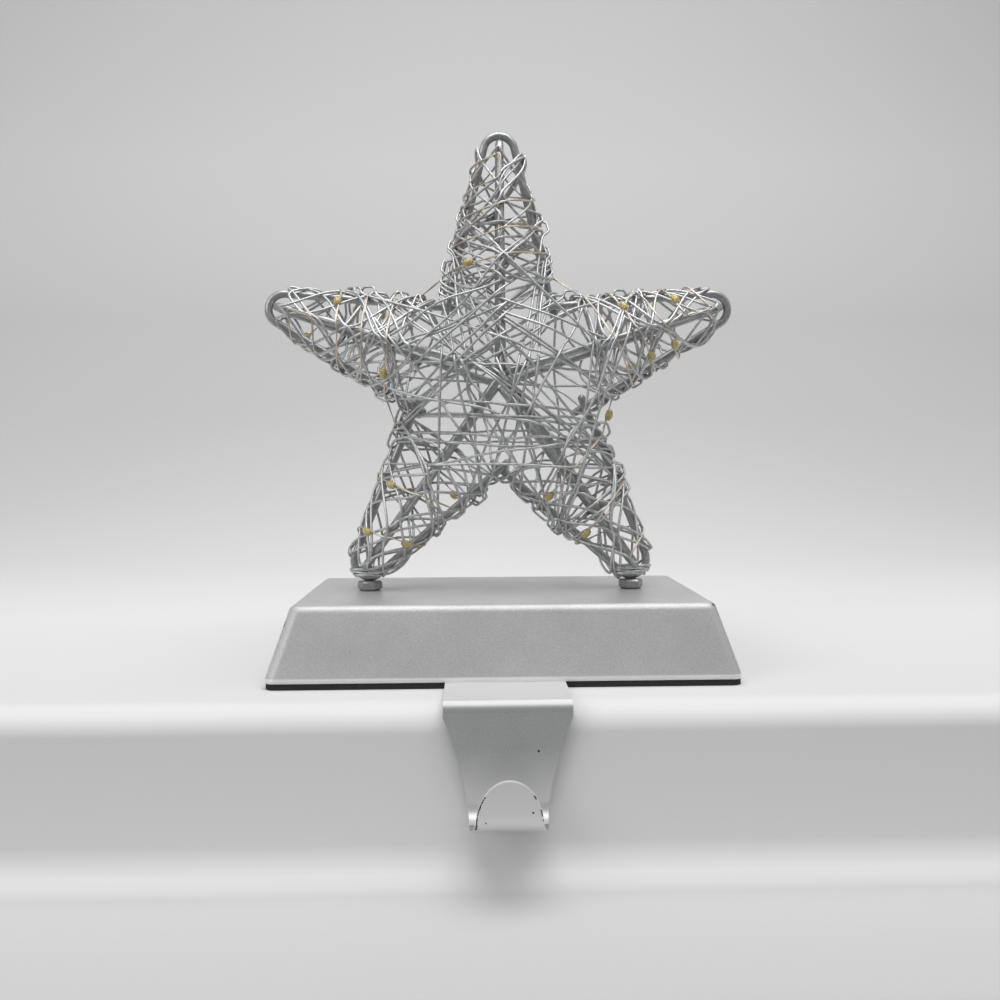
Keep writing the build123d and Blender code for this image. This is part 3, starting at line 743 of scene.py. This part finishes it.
# Stage: a plain step, with the mantel's edge behind the hook plate, sweeping up into a backdrop. Its greys are
# painted light: painted shade makes the backdrop greyer with the distance, a painted pool of light makes it palest
# behind the star's feet, and a painted highlight lightens the step's front face. The lower floor in front is painted
# dark, as painted shade for the hook plate to reflect.
edge_y, low_z, sweep_y, sweep_r = -0.0568, -0.050, 0.25, 0.75
foot_r, edge_r, top_z = 0.012, 0.008, -0.0001
swing = np.linspace(0, np.pi / 2, 40)
profile = np.vstack([
    [[-1.6, low_z]],
    np.stack([edge_y - foot_r + foot_r * np.sin(swing), low_z + foot_r - foot_r * np.cos(swing)], axis=1),
    np.stack([edge_y + edge_r - edge_r * np.cos(swing), top_z - edge_r + edge_r * np.sin(swing)], axis=1),
    np.stack([sweep_y + sweep_r * np.sin(swing), top_z + sweep_r - sweep_r * np.cos(swing)], axis=1),
    [[sweep_y + sweep_r, 2.4]],
])
across = np.array([-2.5, 0.0, 2.5])
grid = np.empty((len(profile), 3, 3))
grid[:, :, 0], grid[:, :, 1:] = across, profile[:, None]
index = np.arange(len(profile) * 3).reshape(-1, 3)
quads = np.stack([index[:-1, :-1], index[:-1, 1:], index[1:, 1:], index[1:, :-1]], axis=-1).reshape(-1, 4)
step = smooth_piece("pale_step", grid.reshape(-1, 3), quads.tolist())
painted_light, tree, bsdf = shader("pale_step", 0.0, 0.9)
front, back = -0.2, 1.0
# Painted light in these greys: the dark lower floor in front, a painted highlight on the step's front face, and
# painted shade that greys the backdrop with the distance, lighter again at the top.
greys = [
    (-0.16, 0.20), (-0.11, 0.56), (-0.064, 0.58), (-0.0575, 0.90), (-0.0562, 0.90), (-0.052, 0.68),
    (0.08, 0.73), (0.27, 0.66), (0.47, 0.61), (0.65, 0.585), (0.80, 0.60), (0.95, 0.73),
]
stops = [((y - front) / (back - front), grey) for y, grey in greys]
grey = ramp(tree, share(tree, place_on(tree, "Y"), front, back), stops)
# Painted pool of light: the greys are multiplied down away from a place on the floor behind the star's feet.
place = tree.nodes.new("ShaderNodeTexCoord")
away = tree.nodes.new("ShaderNodeVectorMath")
away.operation = "DISTANCE"
away.inputs[1].default_value = (0, 0.30, 0)
tree.links.new(place.outputs["Object"], away.inputs[0])
grey = mix(tree, "MULTIPLY", 1.0, grey, ramp(tree, away.outputs["Value"], [(0.0, 1.0), (0.45, 0.87)]))
tree.links.new(grey, bsdf.inputs["Base Color"])
dress(step, painted_light)

# Light: one wide soft lamp overhead, a weaker one from the left, and a room that is darker level with the
# object than above it, and darkest in front, where the picture is taken from.
world = bpy.data.worlds.new("pale_room")
world.use_nodes = True
tree = world.node_tree
height = share(tree, place_on(tree, "Z", "Generated"), -1, 1)
behind = share(tree, place_on(tree, "Y", "Generated"), -1, 1)
room = ramp(tree, height, [(0.0, 0.30), (0.5, 0.36), (0.75, 0.62), (1.0, 0.75)])
room = mix(tree, "MULTIPLY", 1.0, room, ramp(tree, behind, [(0.0, 0.45), (0.35, 1.0)]))
tree.links.new(room, tree.nodes["Background"].inputs["Color"])
bpy.context.scene.world = world
for name, place, aim, size, power in (
    ("overhead_lamp", (0.1, -0.25, 1.3), (0, 0.05, 0.05), 1.2, 15),
    ("left_lamp", (-1.2, -0.9, 0.8), (0, 0, 0.08), 0.8, 5),
):
    lamp = bpy.data.lights.new(name, "AREA")
    lamp.size, lamp.energy = size, power
    light = bpy.data.objects.new(name, lamp)
    light.location = place
    facing = np.array(aim) - np.array(place)
    tilt = np.arctan2(np.hypot(facing[0], facing[1]), -facing[2])
    light.rotation_euler = (tilt, 0, np.arctan2(facing[1], facing[0]) - np.pi / 2)
    bpy.context.scene.collection.objects.link(light)

# Camera: where the photograph was taken from, fitted to the base's corners and the star's tips.
yaw, pitch, roll = np.radians([-1.711, -2.403, -0.229])
forward = np.array([-np.sin(yaw) * np.cos(pitch), np.cos(yaw) * np.cos(pitch), np.sin(pitch)])
right = np.array([np.cos(yaw), np.sin(yaw), 0])
up = np.cross(right, forward)
right, up = np.cos(roll) * right + np.sin(roll) * up, np.cos(roll) * up - np.sin(roll) * right
lens = bpy.data.cameras.new("camera")
lens.lens, lens.sensor_width, lens.clip_start = 32.0, 36.0, 0.01
camera = bpy.data.objects.new("camera", lens)
turned = np.eye(4)
turned[:3, 0], turned[:3, 1], turned[:3, 2] = right, up, -forward
turned[:3, 3] = (-0.00898, -0.29513, 0.06542)
camera.matrix_world = Matrix(turned.tolist())
bpy.context.scene.collection.objects.link(camera)
bpy.context.scene.camera = camera
bpy.context.scene.view_settings.view_transform = "Standard"
